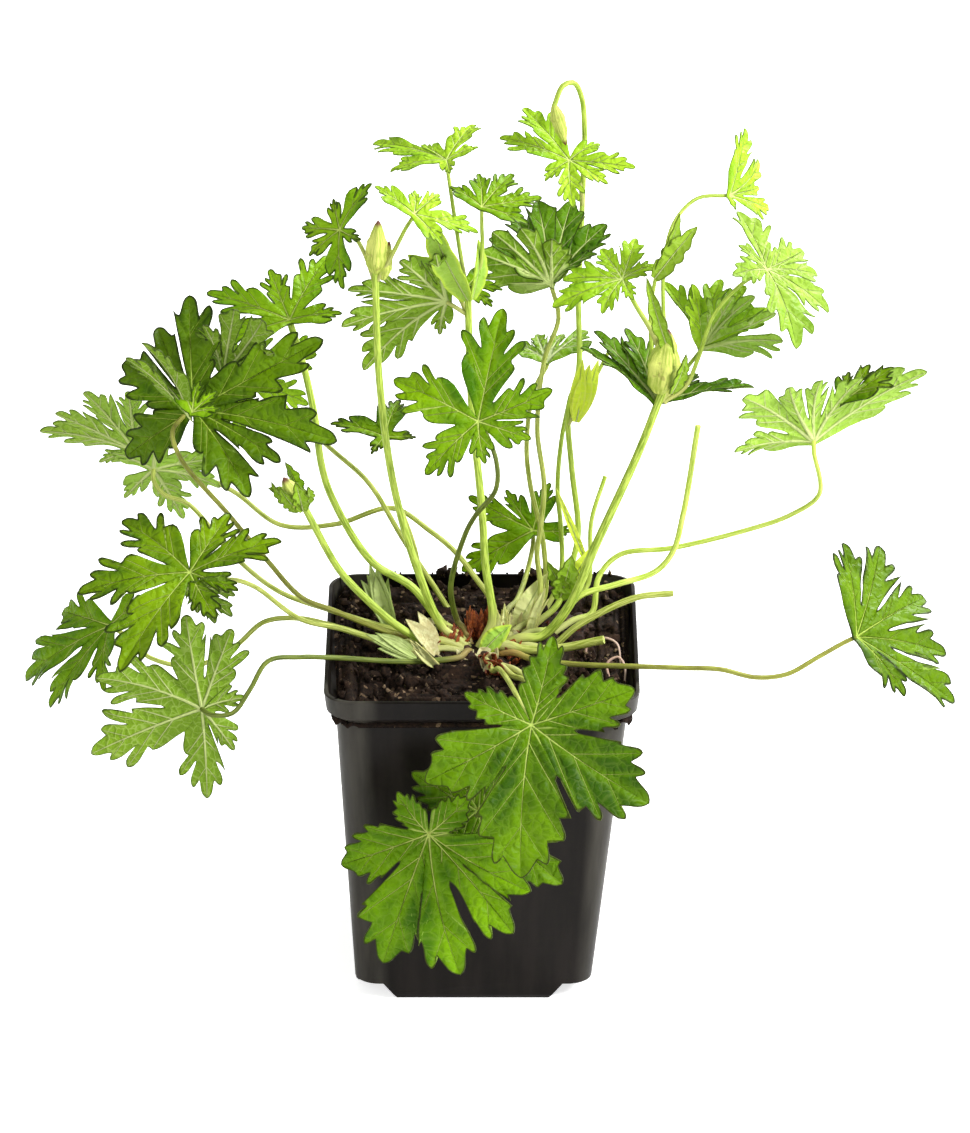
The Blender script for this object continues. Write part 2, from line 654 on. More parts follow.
def blade(finish, seed, hub, face, tips, width=LOBE_WIDTH, sinus=SINUS_REACH, teeth=None):
    """A whole leaf blade: its half lobes welded along their ribs and rays, and thickened."""
    random = np.random.default_rng(seed)
    hub, face = np.array(hub, float), facing(face)
    lobes = ordered_lobes(tips, face, width)
    for number, lobe in enumerate(lobes):
        lobe["number"] = number
        lobe["arch"] = LOBE_ARCH + random.uniform(-0.02, 0.03)
        lobe["phase"] = random.uniform(0, 6.3)
        lobe["roll"] = random.uniform(-0.16, 0.16)
        lobe["crease"] = CREASE * random.uniform(0.8, 1.2)
        lobe["bend"] = random.uniform(-0.03, 0.03)
    grow = np.linspace(0, 1, PALM_ROWS)[:, None]
    away, _ = squared(lobes[0]["along"] + lobes[-1]["along"], face)
    notch = hub + grow * away * NOTCH_DEPTH * (1 if lobes[-1]["gap"] < np.pi else -1)
    rays = [notch]
    for lobe, following in zip(lobes, lobes[1:]):
        between = unit(lobe["along"] + following["along"])
        reach = sinus * min(lobe["length"], following["length"])
        upward = unit(lobe["normal"] + following["normal"])
        fold = CREASE * np.sin(lobe["gap"] / 2)
        crest = (4 * LOBE_ARCH * (1 - 0.4 * grow) + fold) * grow * reach
        rays.append(hub + grow * between * reach + crest * upward)
    rays.append(notch)
    parts, outlines = [], []
    for i, lobe in enumerate(lobes):
        for side, gap, ray in ((-1, lobes[i - 1]["gap"], rays[i]), (1, lobe["gap"], rays[i + 1])):
            cut = np.array(TEETH[teeth or ("narrow" if lobe["length"] > 18 else "small")])
            cut = cut * (1 + random.uniform(-0.05, 0.05, cut.shape))
            *surface, uv, outline = half_lobe(hub, lobe, side, ray, cut, min(gap, WIDEST_GAP) / 2)
            parts.append(part_of(*surface, finish, uv[surface[1]]))
            outlines.append(outline)
    whole = joined(parts)
    rim = np.concatenate(outlines)
    points, triangles, values, kept = weld(whole["points"], whole["triangles"], whole["values"])
    values["edge"] = np.concatenate([
        np.sqrt(((group[:, None] - rim) ** 2).sum(-1)).min(1) for group in np.array_split(points, 6)
    ])
    return thickened(points, triangles, values, finish, whole["uv"][kept], BLADE_THICKNESS)


def curve_through(route, step):
    """Points along a smooth centripetal curve through a stem's route, about a step apart."""
    route = np.array(route, float)
    whole = np.concatenate([[2 * route[0] - route[1]], route, [2 * route[-1] - route[-2]]])
    gap = np.linalg.norm(np.diff(whole, axis=0), axis=1) ** 0.5
    pieces = []
    for i in range(1, len(whole) - 2):
        p0, p1, p2, p3 = whole[i - 1:i + 3]
        g0, g1, g2 = gap[i - 1:i + 2]
        start = ((p1 - p0) / g0 - (p2 - p0) / (g0 + g1) + (p2 - p1) / g1) * g1
        end = ((p2 - p1) / g1 - (p3 - p1) / (g1 + g2) + (p3 - p2) / g2) * g1
        count = max(2, int(round(np.linalg.norm(p2 - p1) / step)))
        t = np.linspace(0, 1, count, endpoint=False)[:, None]
        pieces.append((2 * t ** 3 - 3 * t ** 2 + 1) * p1 + (t ** 3 - 2 * t ** 2 + t) * start
                      + (3 * t ** 2 - 2 * t ** 3) * p2 + (t ** 3 - t ** 2) * end)
    return np.concatenate([*pieces, route[-1:]])


def travelled_along(path):
    """How far each point of a path lies from its start, along the path."""
    return np.concatenate([[0], np.cumsum(np.linalg.norm(np.diff(path, axis=0), axis=1))])


def swept(path, radius, sides, finish, ridge=0.0, ribs=3):
    """A stem along a path, closed at both ends: a ring of its own radius round each point."""
    tangent = unit(np.gradient(path, axis=0))
    level = np.linalg.svd(path - path.mean(axis=0), full_matrices=False)[2][2]
    first = unit(np.cross(tangent, level))[:, None]
    second = np.cross(tangent[:, None], first)
    turn = np.linspace(0, 2 * np.pi, sides, endpoint=False)
    ring = (1 + ridge * np.cos(ribs * turn))[:, None] * radius[:, None, None]
    skin = path[:, None] + (np.cos(turn)[:, None] * first + np.sin(turn)[:, None] * second) * ring
    skin = np.concatenate([np.tile(path[0], (1, sides, 1)), skin, np.tile(path[-1], (1, sides, 1))])
    travelled = np.pad(travelled_along(path), 1, mode="edge")
    along, around = np.broadcast_arrays(travelled[:, None], turn)
    triangles = grid_triangles(len(skin), sides, True)
    uv = np.stack([along / 100, around * 0.01], axis=-1).reshape(-1, 2)[triangles]
    values = {"along": along.ravel(), "left": (travelled[-1] - along).ravel()}
    points, triangles, values, kept = weld(skin.reshape(-1, 3), triangles, values)
    return part_of(points, triangles, values, finish, uv[kept])


def stem(route, radius, finish, end=0.8, base=1.15, sides=9, step=1.7):
    """A stem that is thick where it leaves the soil and thins evenly to its end."""
    path = curve_through(route, step)
    travelled = travelled_along(path)
    part = travelled / travelled[-1]
    size = radius * (1 + (end - 1) * part + (base - 1) * np.exp(-np.maximum(0, travelled - 6) / 7))
    return swept(path, size, sides, finish)


def piece(name, parts, replaced):
    """Joins parts into one piece that stands for a solid of the frame."""
    whole = joined(parts)
    mesh = mesh_of(name, whole["points"], whole["triangles"])
    finishes, index = np.unique(whole["finish"], return_inverse=True)
    for finish in finishes:
        mesh.materials.append(bpy.data.materials[str(finish)])
    mesh.polygons.foreach_set("material_index", index.astype(np.int32).ravel())
    for key, value in whole["values"].items():
        mesh.attributes.new(key, "FLOAT", "POINT").data.foreach_set("value", value.astype(np.float32))
    mesh.uv_layers.new(name="surface").data.foreach_set("uv", whole["uv"].astype(np.float32).ravel())
    mesh.set_sharp_from_angle(angle=CRISP_FOLD)
    made = object_of(name, mesh)
    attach(made, "root")
    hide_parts(replaced)


def value_of(tree, name):
    """A number that the mesh carries at each point."""
    return node(tree, "ShaderNodeAttribute", attribute_name=name).outputs["Fac"]


def skin_place(tree):
    """A place on the piece's own layout, in tenths of a metre."""
    return node(tree, "ShaderNodeUVMap", uv_map="surface").outputs["UV"]


def cell_edge(tree, at, scale):
    """The distance to the edge of the nearest cell, for a net of veins."""
    return node(tree, "ShaderNodeTexVoronoi", {"Vector": at, "Scale": scale},
                feature="DISTANCE_TO_EDGE").outputs["Distance"]


def leaf_markings():
    """A group that draws a leaf's veins, net, margin and mottling from the mesh's own values."""
    group = bpy.data.node_groups.new("leaf_markings", "ShaderNodeTree")
    for name in ("Ribs", "Net", "Glow", "Margin", "Mottle", "Under", "Height"):
        group.interface.new_socket(name, in_out="OUTPUT", socket_type="NodeSocketFloat")
    group.interface.new_socket("Vein Width", in_out="INPUT", socket_type="NodeSocketFloat")
    group.interface.new_socket("Margin Width", in_out="INPUT", socket_type="NodeSocketFloat")
    given = node(group, "NodeGroupInput").outputs
    rib, vein, rim, reach, under = (
        value_of(group, name) for name in ("rib", "vein", "edge", "reach", "under")
    )
    width = times(group, given["Vein Width"], maths(group, "SUBTRACT", 1.15, reach))
    main = faded(group, rib, times(group, width, 0.25), width, 1, 0)
    thin = times(group, width, 0.62)
    side = faded(group, vein, times(group, thin, 0.2), thin, 1, 0)
    side = times(group, side, faded(group, rim, 0.2, 1.6))
    ribs = maths(group, "MAXIMUM", main, times(group, side, 0.85))
    place = skin_place(group)
    warp = node(group, "ShaderNodeTexNoise", {"Vector": place, "Scale": 40.0, "Detail": 2.0}).outputs["Color"]
    bent = node(group, "ShaderNodeVectorMath", {0: warp, 1: (0.02, 0.02, 0.0), 2: place},
                operation="MULTIPLY_ADD").outputs["Vector"]
    cells = cell_edge(group, bent, 34.0)
    small = times(group, faded(group, cell_edge(group, bent, 110.0), 0.01, 0.1, 1, 0), 0.35)
    margin = given["Margin Width"]
    quilt = times(group, faded(group, cells, 0, 0.35), 0.8)
    sunk = maths(group, "SUBTRACT", quilt, times(group, ribs, 1.6))
    glow = times(group, faded(group, vein, 0.2, 1.5, 1, 0), 0.7)
    fed(group, node(group, "NodeGroupOutput"), {
        "Ribs": ribs,
        "Net": maths(group, "MAXIMUM", faded(group, cells, 0.01, 0.07, 1, 0), small),
        "Glow": maths(group, "MAXIMUM", faded(group, rib, 0.3, 3.2, 1, 0), glow),
        "Margin": faded(group, rim, times(group, margin, 0.3), margin, 1, 0),
        "Mottle": noise(group, 210, 4, 0.6),
        "Under": under,
        "Height": times(group, sunk, faded(group, under, 0.4, 0.6, 1, -1)),
    })
    return group


MARKINGS = leaf_markings()


def leaf_finish(name, young, old, ribs, rim, under, vein_width, margin_width, net):
    """A leaf's skin: mottled green above, paler below, with its veins, net and dark margin."""
    tree, shader = new_finish(name)
    marks = node(tree, "ShaderNodeGroup", node_tree=MARKINGS)
    fed(tree, marks, {"Vein Width": vein_width, "Margin Width": margin_width})
    marks, cloud = marks.outputs, noise(tree, 45, 3)
    upper = mixed(tree, faded(tree, cloud, 0.35, 0.65), old, young)
    upper = mixed(tree, times(tree, faded(tree, marks["Mottle"], 0.4, 0.7), 0.4), upper, old)
    for mark, share, tint in (
        ("Glow", 0.6, young), ("Net", net, ribs), ("Ribs", 0.8, ribs), ("Margin", 0.85, rim),
    ):
        upper = mixed(tree, times(tree, marks[mark], share), upper, tint)
    lower = mixed(tree, faded(tree, cloud, 0.35, 0.65, 0, 0.5), under, upper)
    for mark, share, tint in (("Net", 0.25, "b8d070"), ("Ribs", 1.0, "d0de90"), ("Margin", 0.6, rim)):
        lower = mixed(tree, times(tree, marks[mark], share), lower, tint)
    skin = mixed(tree, marks["Under"], upper, lower)
    dressed(tree, shader, skin, faded(tree, marks["Under"], 0, 1, 0.45, 0.7), marks["Height"], 0.0004, 0.1)


def stem_finish(name, pale, deep, foot):
    """A living stem: pale green with darker streaks along it, and blushed at its foot."""
    tree, shader = new_finish(name)
    streak = noise(tree, 3, 3, at=stretched(tree, skin_place(tree), (6, 90, 1)))
    skin = mixed(tree, faded(tree, streak, 0.4, 0.62), pale, deep)
    skin = mixed(tree, times(tree, faded(tree, noise(tree, 120, 3), 0.45, 0.7), 0.5), skin, pale)
    skin = mixed(tree, times(tree, faded(tree, value_of(tree, "along"), 6, 16, 1, 0), 0.8), skin, foot)
    dressed(tree, shader, skin, 0.45, streak, 0.0002, 0.2)


KNOT = np.array([-2.0, -1.0])
KNOT_LEVEL = 96.5
DRAWN_IN = 13
FOOT_TOP = 99.5
stem_feet = []


def from_knot(route):
    """A route whose start is drawn in over the rootstock, towards the knot in its middle."""
    foot = np.array(route[0], float)
    inward = KNOT - foot[:2]
    far = np.linalg.norm(inward)
    inward = inward / far * min(0.8 * far, DRAWN_IN)
    rise = min(foot[2], FOOT_TOP) + 0.3
    return [[*(foot[:2] + inward), KNOT_LEVEL], [*(foot[:2] + 0.45 * inward), rise], *route]


def grown_leaf(number, name, skin, hub, face, tips, route,
               slot_name="leaf", petiole="green", extra=(), **cut):
    """One leaf: its blade, its petiole and the smaller blades that are folded against it."""
    route = from_knot(route)
    stem_feet.append(route[1])
    grown = [blade("leaf_" + skin, 40 + number, hub, face, tips, **cut),
             stem([*route, hub], PETIOLE, "petiole_" + petiole)]
    grown += [blade("leaf_" + other, 90 + number, *place, **own) for other, *place, own in extra]
    piece("blade_" + name, grown, "leaf_" + name)


leaf_finish("leaf_deep", "608400", "2c4c00", "b2cc54", "161c06", "86a83e", 0.46, 0.8, 0.06)
leaf_finish("leaf_mid", "789c00", "3e6400", "c4d86c", "1a2008", "86a83e", 0.46, 0.8, 0.06)
leaf_finish("leaf_front", "648c00", "2e5200", "c0d46c", "30300f", "86a83e", 0.46, 0.5, 0.06)
leaf_finish("leaf_low", "74a200", "386400", "ccdc74", "30300f", "90b444", 0.46, 0.5, 0.06)
leaf_finish("leaf_fresh", "7ca600", "427200", "ccde74", "2f4210", "90b444", 0.44, 0.5, 0.06)
leaf_finish("leaf_vivid", "92c010", "568c00", "ccde74", "1c2e06", "90b444", 0.44, 0.65, 0.05)
leaf_finish("leaf_bright", "aad22c", "76a80c", "dcee90", "5d7a24", "b0d254", 0.42, 0.35, 0.05)
leaf_finish("leaf_sunlit", "98c030", "5c8c0c", "eef6c4", "55701c", "a0c84c", 0.8, 0.45, 0.25)
leaf_finish("leaf_pale", "80a41e", "4a7608", "d4e490", "2c3a12", "729424", 0.55, 0.5, 0.26)
leaf_finish("leaf_lit", "94b83c", "6e981e", "d6e690", "6d8a30", "a8c860", 0.46, 0.4, 0.08)
leaf_finish("leaf_veined", "94b834", "60900c", "e6eeb4", "4c6420", "94b840", 0.85, 0.4, 0.2)
leaf_finish("leaf_ribbed", "649010", "3c6804", "dce69c", "2c3410", "80a428", 0.85, 0.5, 0.06)
stem_finish("petiole_green", "c8d070", "88982e", "c6c884")
stem_finish("petiole_lime", "dcec78", "b0cc44", "c6c884")
stem_finish("petiole_brown", "a3a84a", "7d7a34", "b08a58")
stem_finish("petiole_dark", "7c8a3a", "4f5f22", "a08a58")
grown_leaf(
    0, "front_upper", "front", (14, -66, 103), (0, 25),
    [(6, 25), (29, 10), (33, -22), (-3, -43), (-30, -16), (-19, 9)],
    [(3, -20, 98.5), (5, -30, 103.5), (9, -46, 104.5), (13, -60, 101.5)],
    width=(0.24, 0.3, 0.32, 0.32, 0.33, 0.25), sinus=0.4, teeth="broad",
)
grown_leaf(
    1, "front_lower", "low", (-15, -60, 66), (-15, 18),
    [(-9, 12), (-25, -9), (-13, -37), (9, -40), (24, -28), (29, -16), (12, 11)],
    [(8.5, -21, 97.5), (12, -32, 101), (14, -44, 102.5), (13, -50, 98.5), (8, -52.5, 88), (-4, -56, 76)],
    width=0.3, sinus=0.4, teeth="broad",
)
grown_leaf(
    2, "front_under", "front", (-1, -51, 69), (0, 15),
    [(-19, 11), (-9, 18), (13, 15), (24, -8), (24, -21), (5, -22), (-16, -14)],
    [(13, -23, 97.5), (18, -34, 101), (19, -44, 102.8), (17, -50, 98), (10, -48, 88), (1, -47, 80)],
    width=0.3, sinus=0.4, teeth="broad",
)
grown_leaf(
    3, "low_left", "pale", (-80, -30, 91), (180, 3),
    [(12, 3, -12), (9, 23), (-4, 27), (-30, 9), (-32, -13), (1, -26), (9, -12, -8)],
    [(-6, -9.5, 98), (-20, -14, 98.5), (-43, -21, 103), (-52, -25, 105), (-61, -30, 106), (-66, -34, 99),
     (-71, -36, 92.5), (-77, -35, 91.5)],
    slot_name="pale_leaf", petiole="dark", width=0.24,
)
grown_leaf(
    4, "mid_left", "mid", (-83, -22, 130), (-15, 62),
    [(11, 17), (26, 9), (14, -5), (8, -13), (-19, -28), (-32, -6), (-20, 15)],
    [(-17, -6, 98), (-26, -7, 100.5), (-40, -8, 106), (-52, -12, 111), (-65, -18, 124), (-71, -20, 127),
     (-80, -20, 126)],
    width=0.24, sinus=0.24,
    extra=[
        ("pale", (-82, -26, 128), (170, 15),
         [(-5, -4), (1, -8), (6, -11), (11, -9), (12, -3)], {"width": 0.34}),
    ],
)
grown_leaf(
    5, "far_left", "fresh", (-108, 12, 98), (-60, 35),
    [(11, 8), (-15, 4), (-26, -16), (-18, -24), (-1, -19)],
    [(-26, -1, 98.5), (-40, -1, 103), (-53, 4, 104), (-63, 6, 102), (-72, 8, 93), (-84, 10, 86),
     (-97, 12, 88), (-104, 14, 94)],
    width=0.24,
)
grown_leaf(
    6, "upper_left", "deep", (-82, 0, 171), (0, 35),
    [(-20, -13, -14), (-21, 14, -18), (-11, 24, -14), (-1.5, 33), (37, 20, 4), (41, -9, 6), (25, -15, 10),
     (16, -25)],
    [(-24, 4, 98.5), (-33, 4, 102), (-43, 3, 107), (-52, 2, 111.5), (-62, 3, 123), (-73, 2, 138),
     (-86, -5, 158.5), (-88, -5, 166.5), (-84, 1, 169.5)],
    petiole="brown", width=(0.27, 0.27, 0.26, 0.25, 0.18, 0.2, 0.16, 0.26), sinus=0.3, teeth="oak",
    extra=[
        ("pale", (-83, -6, 171), (150, 20), [(-13, 21), (-18, 17), (-6, 9)], {"width": 0.14}),
        ("vivid", (-82, -9, 174), (-20, 50), [(-3, 8), (2, 9), (7, 6), (8, 1)], {"width": 0.28}),
        ("pale", (-74, 9, 178), (160, 20), [(-5, 14), (4, 18), (12, 15), (15, 6)], {"width": 0.26}),
    ],
)
grown_leaf(
    7, "left_back", "bright", (-67, 31, 166), (-20, 40),
    [(21, 13), (4, 18), (-11, 15), (-16, -4), (-4, -16), (17, -6)],
    [(-9, 23, 97), (-13, 25, 103), (-23, 27, 119), (-33, 29, 136), (-44, 31, 146), (-57, 33, 158),
     (-65, 34, 163)],
    width=0.23,
)
grown_leaf(
    8, "pale_left", "veined", (-101, 38, 142), (170, 25),
    [(-11, -3), (-28, 6), (-23, 11), (-14, 17), (-1, 17), (13, 7)],
    [(3.5, 19, 101), (-3, 23, 110), (-8, 25, 116), (-15, 28, 121), (-26, 31, 127), (-43, 33, 121),
     (-59, 35, 120), (-73, 37, 130), (-88, 37, 137), (-98, 34, 140)],
    slot_name="pale_leaf",
)
grown_leaf(
    9, "pale_low_left", "sunlit", (-95, 22, 143), (180, 25),
    [(21, 3), (19, -5), (8, -14), (-9, -8), (-12, 5), (3, 12)],
    [(-23, 9, 97.5), (-30, 9, 99.5), (-43, 10, 103.5), (-59, 12, 109), (-72, 15, 119), (-85, 18, 134),
     (-92, 18, 137), (-95, 19, 141)],
    slot_name="pale_leaf",
)
grown_leaf(
    10, "centre", "fresh", (-1, -18, 175), (-10, 25),
    [(-15, -15), (-24, 12), (7, 32), (21, 9), (15, -5), (2, -12)],
    [(-7, 10.5, 100), (-9, 8, 112), (-5, 4, 130), (-2, 0, 138), (4, -6, 149), (4, -10, 160),
     (0, -13.5, 172)],
    petiole="dark", width=0.27, sinus=0.3,
)
grown_leaf(
    11, "under_mid", "ribbed", (20, 25, 200), (0, 80),
    [(-18, 13, -6), (-12, 20, -8), (-4, 24, -8), (6, 24, -9), (16, 17, -5), (13, 8, 6)],
    [(16, 11, 102), (17, 14, 110), (16, 16, 119), (17, 17, 127), (18, 18, 140), (16, 19, 157),
     (18, 21, 178), (22, 23, 190), (20, 25, 199)],
    width=(0.3, 0.3, 0.34, 0.34, 0.32, 0.3), teeth="broad",
    extra=[
        ("ribbed", (20, 23, 200), (180, 10),
         [(-21, 9, 5), (-17, 15, 8), (-9, 16, 9), (0, 13, 8)],
         {"width": 0.36, "sinus": 0.55, "teeth": "broad"}),
    ],
)
grown_leaf(
    12, "small_mid", "sunlit", (19, 44, 168), (0, 70),
    [(-9, 5), (-3, 8), (5, 8), (12, 9)],
    [(18, 24, 101), (18, 29, 116), (14, 33, 134), (13, 36, 145), (15, 40, 160), (19, 44, 167)],
    width=0.3, sinus=0.5,
)
grown_leaf(
    13, "small_left", "mid", (-28, 25, 152), (0, 75),
    [(-16, 4), (4, 11), (9, 0), (-4, -5)],
    [(-16, 19.5, 103), (-20, 21.5, 120), (-26, 23.5, 138), (-28, 25, 151)],
)
grown_leaf(
    14, "back_centre", "fresh", (15, 40, 116), (0, 25),
    [(-21, -12), (-19, 10), (-8, 12), (5, 14), (12, 0)],
    [(10, 25, 100), (13, 36, 103.5), (15, 43, 110), (15, 41, 115)],
)
grown_leaf(
    15, "far_right", "sunlit", (95, 5, 159), (-160, 25),
    [(-23, -3), (-21, 12), (-8, 15), (1, 17), (13, 18), (32, 20)],
    [(32, 14.5, 101), (34, 18, 111), (40, 20, 117), (55, 18, 120), (75, 14, 127), (89, 10, 134),
     (97, 5, 143), (95, 2, 157)],
    slot_name="pale_leaf", petiole="lime",
    extra=[
        ("mid", (103, 3, 172), (-20, 50), [(2, 9), (8, 11), (15, 10)], {"width": 0.3}),
    ],
)
grown_leaf(
    16, "low_right", "deep", (107, -20, 109), (50, 42),
    [(-3, 27), (8, 26), (21, 11), (27, -5), (29, -19), (14, -17)],
    [(14, -13, 99), (27, -18, 99.5), (45, -26, 102.5), (57, -28, 103), (68, -29, 103), (78, -29, 100.5),
     (87, -28, 101), (96, -25, 105), (104, -21, 108)],
    petiole="brown", width=0.24,
)


# ---------------------------------------------------------------- flower stalks
# Six leafy stalks that rise from the rootstock. Small leaves and twigs branch off near their tops,
# where pointed bracts stand round the flower buds. Each stalk is grown as one piece.
STALK = 1.3
TWIG = 0.7
STALKS_PART = 120


def lance(foot, tip, half, turned, finish, bow=0.08, fold=0.35, thickness=0.4, teeth=0.0):
    """A pointed bract: rows along it, folded along its rib and bowed outwards.

    Its width is a small part that falls evenly from foot to tip, and a large part that swells as
    a sine over its length. It is notched from a quarter up, as deep as teeth times its width.
    """
    foot = np.array(foot, float)
    length = np.linalg.norm(tip - foot)
    along = (tip - foot) / length
    normal, across = squared(facing(turned), along)
    part, side = np.linspace(0, 1, 22)[:, None], np.linspace(-1, 1, 9)
    width = half * (0.35 * (1 - part) + 0.85 * np.sin(np.pi * part) ** 0.9 * (1 - 0.1 * part) + 0.02)
    notches = np.abs(np.sin(2 * np.pi * (part + 0.03 * side) * 2.2)) ** 3
    width = width * (1 - teeth * notches * (part > 0.25))
    aside = side * width
    part = part + 0 * side
    lift = bow * length * np.sin(np.pi * part) + fold * np.abs(aside)
    points = foot + (part * length)[..., None] * along + aside[..., None] * across + lift[..., None] * normal
    triangles = grid_triangles(*part.shape, False)
    uv = np.stack([part * length / 100, aside / 100], axis=-1).reshape(-1, 2)[triangles]
    values = {
        "rib": np.abs(aside).ravel(), "vein": np.full(part.size, NO_VEIN), "reach": part.ravel(),
        "edge": np.minimum((1 - np.abs(side)) * width, (1 - part) * length).ravel(),
    }
    return thickened(points.reshape(-1, 3), triangles, values, finish, uv, thickness)


def bud(foot, tip, radius):
    """A closed bud of five ridged sepals that ends in a short dark awn."""
    part = np.linspace(0, 1, 24)
    path = foot + part[:, None] * np.subtract(tip, foot)
    swell = np.sin(np.pi * part ** 0.8) ** 0.65 * (1 - 0.25 * part ** 3)
    swell = swell * (1 + 0.05 * np.sin(19 * part + radius) + 0.04 * np.sin(43 * part))
    return swept(path, radius * np.maximum(swell, 0.03), 30, "bud_green", 0.09, 5)


def bud_finish(name):
    """Sepals of a bud: pale green with darker ribs and fine down, and a dark awn at the tip."""
    tree, shader = new_finish(name)
    streak = noise(tree, 3, 3, at=stretched(tree, skin_place(tree), (5, 120, 1)))
    skin = mixed(tree, faded(tree, streak, 0.4, 0.62), "d6de6c", "a2b63c")
    skin = mixed(tree, times(tree, faded(tree, noise(tree, 380, 3, 0.6), 0.58, 0.7), 0.45), skin, "7c6a2c")
    skin = mixed(tree, faded(tree, value_of(tree, "left"), 0.6, 2.2, 1, 0), skin, "6b3a26")
    dressed(tree, shader, skin, 0.6, plus(tree, streak, noise(tree, 2200, 2)), 0.00015)


def grown_stalk(number, name, stems, blades, buds=(), bracts=(), sheaths=()):
    """One flower stalk: its stems, its leaves, its buds and the bracts and sheaths round them."""
    stem_feet.append(from_knot(stems[0][0])[1])
    grown = []
    for route, radius in stems:
        route = from_knot(route) if route[0][2] < STALKS_PART else route
        grown.append(stem(route, 0.92 * radius, "stalk_green", 0.85, 1.1))
    grown += [blade("leaf_" + skin, 80 + 9 * number + i, *place, **cut)
              for i, (skin, *place, cut) in enumerate(blades)]
    grown += [bud(*values) for values in buds]
    finish, notch = ("toothed_bract", 0.3) if buds else ("bract", 0.12)
    grown += [lance(*values, finish, 0.06, 0.45, 0.4, notch) for values in bracts]
    grown += [lance(*values, "yellow_sheath", 0.05, 0.2, 0.3) for values in sheaths]
    piece("flower_" + name, grown, name)


bud_finish("bud_green")
leaf_finish("bract", "92c846", "6cb044", "d2e48c", "c0d848", "a4c84c", 0.35, 1, 0.06)
leaf_finish("toothed_bract", "82ac1e", "4a7a0c", "cfe084", "4c5a18", "90b42e", 0.35, 0.4, 0.06)
leaf_finish("yellow_sheath", "d6ec38", "b8dc20", "ecf48c", "dce860", "d8ec48", 0.3, 0.6, 0.05)
stem_finish("stalk_green", "c4da5e", "8aa634", "b9b870")
grown_stalk(
    0, "stalk_a",
    [
        ([(-11, 0.5, 102), (-18, -1, 120), (-25, -3, 148), (-29, -5, 182), (-30, -6, 216)], STALK),
        ([(-30, -6, 212), (-33, -3, 220), (-36, 1, 223.5), (-40, 5, 223.5)], TWIG),
        ([(-29.5, -6, 213), (-25, -8, 222), (-21, -7.5, 230), (-19, -6, 232.5)], TWIG),
    ],
    [
        ("vivid", (-40, 5, 224), (-45, 30), [(-9, -7), (-11, 1), (-2, 9), (9, 13), (6, -3), (1, -17)], {}),
        ("bright", (-19, -6, 233), (40, 60), [(-11, 8), (0, 7), (7, 6), (18, -5), (8, -9)], {}),
    ],
    buds=[((-30, -6, 215), (-29, -8, 232), 3.1), ((-28, -6, 213), (-26, -6, 225), 1.9)],
)
grown_stalk(
    1, "stalk_b",
    [
        ([(3, 2.5, 104), (1, 4, 121), (0, 5, 138), (-3, 7, 171), (-4, 8, 206)], STALK),
        ([(-4, 8, 202), (-6, 13, 213), (-8, 17, 225), (-10, 18, 239.5)], TWIG),
        ([(-3, 8, 203), (0, 7, 215), (0, 4, 226), (0, 2, 231.5)], TWIG),
        ([(-4, 8, 197), (-7, 8, 199), (-10, 8, 201)], TWIG),
        ([(-4, 8, 196), (-6, 12, 200), (-9, 13, 203.5)], TWIG),
        ([(-4, 8, 194), (-4, 14, 197), (-4, 21.5, 200)], TWIG),
    ],
    [
        ("bright", (-10, 18, 240), (-60, 75),
         [(-16, -3), (-21, 6), (-7, 5, -10), (8, 11), (9, 4), (1, -4, 8)], {}),
        ("fresh", (0, 2, 232), (20, 70), [(-9, 6), (-1, 10), (9, 10), (17, 3), (13, -5)], {}),
        ("ribbed", (-10, 8, 201), (-170, 25),
         [(-2, -9), (-24, -19), (-30, -7), (-28, 3), (-13, 11), (-3, 13)], {}),
        ("fresh", (-4, 22, 200), (0, 70), [(-11, 7), (5, 6), (10, -1), (7, -6), (-8, -3)], {}),
    ],
    bracts=[
        ((-4, 7, 202), (-16, 2, 232), 4.2, (-20, 10)), ((-3, 7, 202), (-1, 8, 220), 3, (50, 5)),
        ((-9, 13, 202), (-21, 14, 213), 4.2, (0, 30)),
    ],
)
